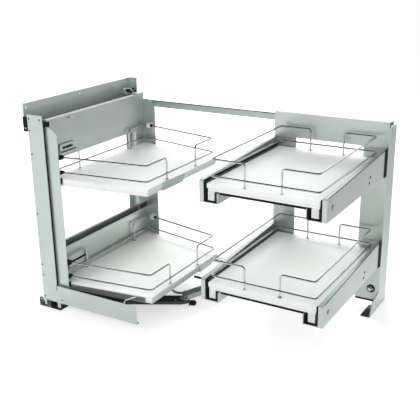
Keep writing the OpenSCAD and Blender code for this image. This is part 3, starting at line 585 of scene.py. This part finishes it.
strip_path = [on_slide_end(y, z) for y, z in RAIL_STRIP]
hook_path = [on_slide_end(y, z, RAIL_HOOK_SEAT) for y, z in RAIL_HOOK]
bent_rod("rail_end_strip", strip_path, RAIL_STRIP_RADIUS, "fixed_rails", "plain_steel")
bent_rod("rail_end_hook", hook_path, RAIL_HOOK_RADIUS, "fixed_rails", "white_plastic")
long_pad("rail_end_shade", on_slide_end(*SHADE_PAD, SHADE_PAD_SEAT), (0, 1, SHADE_PAD_SLOPE), (0, -SHADE_PAD_SLOPE, 1),
         SHADE_PAD_LENGTH, SHADE_PAD_WIDTH, PAD, "fixed_rails", "black_plastic")

# black strip along the lower edge of the right upright's plate
SOLE_WIDTH, SOLE_RISE, SOLE_SHIFT, SOLE_SHORT = 5.0, 2.6, 1.0, 3.0
lo, hi = place_mm("left_upright")
right_lo, right_hi = place_mm("right_upright")
long_pad("upright_strip", ((right_lo.x + right_hi.x) / 2 - SOLE_SHIFT, lo.y, lo.z + SOLE_RISE), RIGHT, UP,
         right_hi.x - right_lo.x - SOLE_SHORT, SOLE_WIDTH, STRIP, "rear_carriage", "black_plastic")

# dark line along the top of the rear bar's face
BAR_LINE_LENGTH, BAR_LINE_WIDTH, BAR_LINE_SHIFT, BAR_LINE_DROP = 580.0, 2.4, 120.0, 1.3
lo, hi = place_mm("rear_bar")
long_pad("bar_line", ((lo.x + hi.x) / 2 - BAR_LINE_SHIFT, lo.y, hi.z - BAR_LINE_DROP), RIGHT, UP,
         BAR_LINE_LENGTH, BAR_LINE_WIDTH, FILM, "fixed_rails", "black_plastic")

# folded channel on the left of the rear upright, in the openings between the side sheets
FOLD_REACH, FOLD_LIP, FOLD_FOOT, FOLD_LAP = 22.0, 18.0, 20.0, 25.0
FLANGE_REACH = 8.0
lo, hi = place_mm("rear_upright")
low_lo, low_hi = place_mm("lower_panel")
up_lo, up_hi = place_mm("upper_panel")
fold_x, fold_y = up_lo.x + FLANGE_REACH, lo.y
fold_left = fold_x - FOLD_REACH
fold = [
    (fold_x, fold_y), (fold_x, fold_y + SHEET), (fold_left - SHEET, fold_y + SHEET),
    (fold_left - SHEET, fold_y - FOLD_LIP), (fold_left, fold_y - FOLD_LIP), (fold_left, fold_y),
]
rings = [[Vector((x, y, z)) for x, y in fold] for z in (low_hi.z - FOLD_FOOT, up_lo.z + FOLD_LAP)]
add_piece("upright_fold", *skin(rings), "front_carriage", "steel_sheet")

# plate that closes the rear end of the lower side sheet's recess
RECESS_END_HEIGHT, RECESS_END_WIDTH, RECESS_END_INSET = 46.0, 9.0, 4.0
long_pad("recess_end", (fold_x - RECESS_END_INSET, low_hi.y, low_hi.z - RECESS_END_INSET), UP, LEFT,
         RECESS_END_HEIGHT, RECESS_END_WIDTH, PLATE, "front_carriage", "grey_steel")

# white rod along the top edge of the upper side sheet: a painted highlight on that edge
HIGHLIGHT_RADIUS, HIGHLIGHT_DROP, HIGHLIGHT_START, HIGHLIGHT_END = 2.5, 0.4, 2.0, 404.0
highlight_path = [(up_hi.x, y, up_hi.z - HIGHLIGHT_DROP) for y in (up_lo.y + HIGHLIGHT_START, HIGHLIGHT_END)]
bent_rod("panel_highlight", highlight_path, HIGHLIGHT_RADIUS, "front_carriage", "white_plastic")

# dark films on the top, the edge and the back wall of the lower side sheet's recess: painted shade
BAND_DEPTH = 8.0
SHADE_FILM_SHORT = 1.0
TOP_SHADE_FILM, EDGE_SHADE_FILM, BACK_SHADE_FILM, BACK_SHADE_DROP = 7.8, 1.9, 17.6, 11.0
shade_film_y, shade_film_run = (low_lo.y + low_hi.y) / 2, low_hi.y - low_lo.y - SHADE_FILM_SHORT
band_left, band_face = low_lo.x, low_lo.x + BAND_DEPTH
long_pad("band_shade_top", ((band_left + band_face) / 2, shade_film_y, low_hi.z), BACK, LEFT,
         shade_film_run, TOP_SHADE_FILM, FILM, "front_carriage", "grey_steel")
long_pad("band_shade_edge", (band_face, shade_film_y, low_hi.z - SHEET / 2), BACK, UP,
         shade_film_run, EDGE_SHADE_FILM, FILM, "front_carriage", "grey_steel")
long_pad("band_shade_back", (band_left + SHEET, shade_film_y, low_hi.z - BACK_SHADE_DROP), BACK, UP,
         shade_film_run, BACK_SHADE_FILM, FILM, "front_carriage", "dark_steel")

# floor, surround and lamps, in metres

FLOOR_HALF, FLOOR_GAP = 30.0, 0.0006
FLOOR_COLOUR = 0.50
FLOOR_MIDDLE = (0.45, 0.25, 0.0)
FLOOR_LIFT = (0.62, 0.86)
FLOOR_FADE = (0.9, 4.0)
FLOOR_SHADE = 0.15
FLOOR_SHADE_WAY = (1.0, 0.28, 0.0)
FLOOR_SHADE_FADE = (0.95, 1.6)
WORLD_LIGHT = 0.50
WORLD_SEEN = (1.0, 0.02)
WORLD_FALL = (0.40, 0.65)
WORLD_FRONT, WORLD_RIGHT = 0.60, 0.45
AIM, GLEAM_AIM = (0.45, 0.25, 0.25), (0.45, 0.25, 0.35)
LAMPS = {
    "key": dict(place=(0.35, -2.6, 1.9), target=AIM, size=(4.0, 2.4), power=66.0, mirrored=False),
    "back": dict(place=(-0.9, 2.6, 1.5), target=AIM, size=(2.4, 1.2), power=104.0, mirrored=False),
    "gleam": dict(place=(-0.95, 2.55, 1.4), target=GLEAM_AIM, size=(2.4, 1.2), power=10.0, mirrored=True),
    "side": dict(place=(3.0, -0.2, 1.3), target=AIM, size=(1.4, 1.0), power=16.0, mirrored=False),
}


def floor_material():
    """Pale floor that takes the shadow, lifted to white where it is seen, less so far to the right."""
    mat = bpy.data.materials.new("floor_look")
    t = Tree(mat)
    place = t.node("ShaderNodeNewGeometry")
    away = t.vector_math("DISTANCE", place, "Position", FLOOR_MIDDLE)
    rise = t.remap(away, "Value", FLOOR_FADE, FLOOR_LIFT)
    way = t.vector_math("DOT_PRODUCT", place, "Position", FLOOR_SHADE_WAY)
    shade = t.remap(way, "Value", FLOOR_SHADE_FADE, (1.0, FLOOR_SHADE), "SMOOTHSTEP")
    shaded = t.number_math("MULTIPLY", rise, "Result", shade, "Result")
    strength = t.number_math("MULTIPLY", t.background_rays(), "Value", shaded)
    diffuse = t.node("ShaderNodeBsdfDiffuse", Color=(FLOOR_COLOUR, FLOOR_COLOUR, FLOOR_COLOUR, 1))
    lift = t.node("ShaderNodeEmission", Color=WHITE)
    t.link(strength, "Value", lift, "Strength")
    both = t.node("ShaderNodeAddShader")
    t.link(diffuse, "BSDF", both, 0)
    t.link(lift, "Emission", both, 1)
    t.link(both, "Shader", t.node("ShaderNodeOutputMaterial"), "Surface")
    return mat


def make_floor():
    mesh = bpy.data.meshes.new("floor")
    s = FLOOR_HALF
    mesh.from_pydata([(-s, -s, 0), (s, -s, 0), (s, s, 0), (-s, s, 0)], [], [(0, 1, 2, 3)])
    mesh.materials.append(floor_material())
    ob = bpy.data.objects.new("floor", mesh)
    ob.location = (0, 0, -FLOOR_GAP)
    scene.collection.objects.link(ob)


def make_world():
    """Even studio surround; where it is seen it is pale at the left rear and darker elsewhere."""
    world = bpy.data.worlds.new("studio")
    scene.world = world
    t = Tree(world)
    axes = t.node("ShaderNodeSeparateXYZ")
    t.link(t.node("ShaderNodeTexCoord"), "Generated", axes, "Vector")

    def lean(axis, share):
        """How far a direction leans to one side, and 0 on the other side."""
        part = t.number_math("MULTIPLY", axes, axis, share)
        return t.number_math("MAXIMUM", part, "Value", 0.0)

    upper_front = t.number_math("ADD", axes, "Z", lean("Y", -WORLD_FRONT))
    darkness = t.number_math("ADD", upper_front, "Value", lean("X", WORLD_RIGHT))
    fall = t.remap(darkness, "Value", WORLD_FALL, WORLD_SEEN, "SMOOTHSTEP")
    light = t.node("ShaderNodeBackground", Color=WHITE, Strength=WORLD_LIGHT)
    seen = t.node("ShaderNodeBackground", Color=WHITE)
    t.link(fall, "Result", seen, "Strength")
    mix = t.node("ShaderNodeMixShader")
    t.link(t.background_rays(), "Value", mix, "Fac")
    t.link(light, "Background", mix, 1)
    t.link(seen, "Background", mix, 2)
    t.link(mix, "Shader", t.node("ShaderNodeOutputWorld"), "Surface")


def make_lamp(name, place, target, size, power, mirrored):
    data = bpy.data.lights.new(name, "AREA")
    data.shape = "RECTANGLE"
    data.size, data.size_y = size
    data.energy = power
    ob = bpy.data.objects.new(name, data)
    scene.collection.objects.link(ob)
    ob.location = place
    aim = Vector(target) - Vector(place)
    ob.rotation_euler = aim.to_track_quat("-Z", "Y").to_euler()
    ob.visible_glossy = mirrored


make_floor()
make_world()
for name, values in LAMPS.items():
    make_lamp(name, **values)
scene.view_settings.view_transform = "Standard"
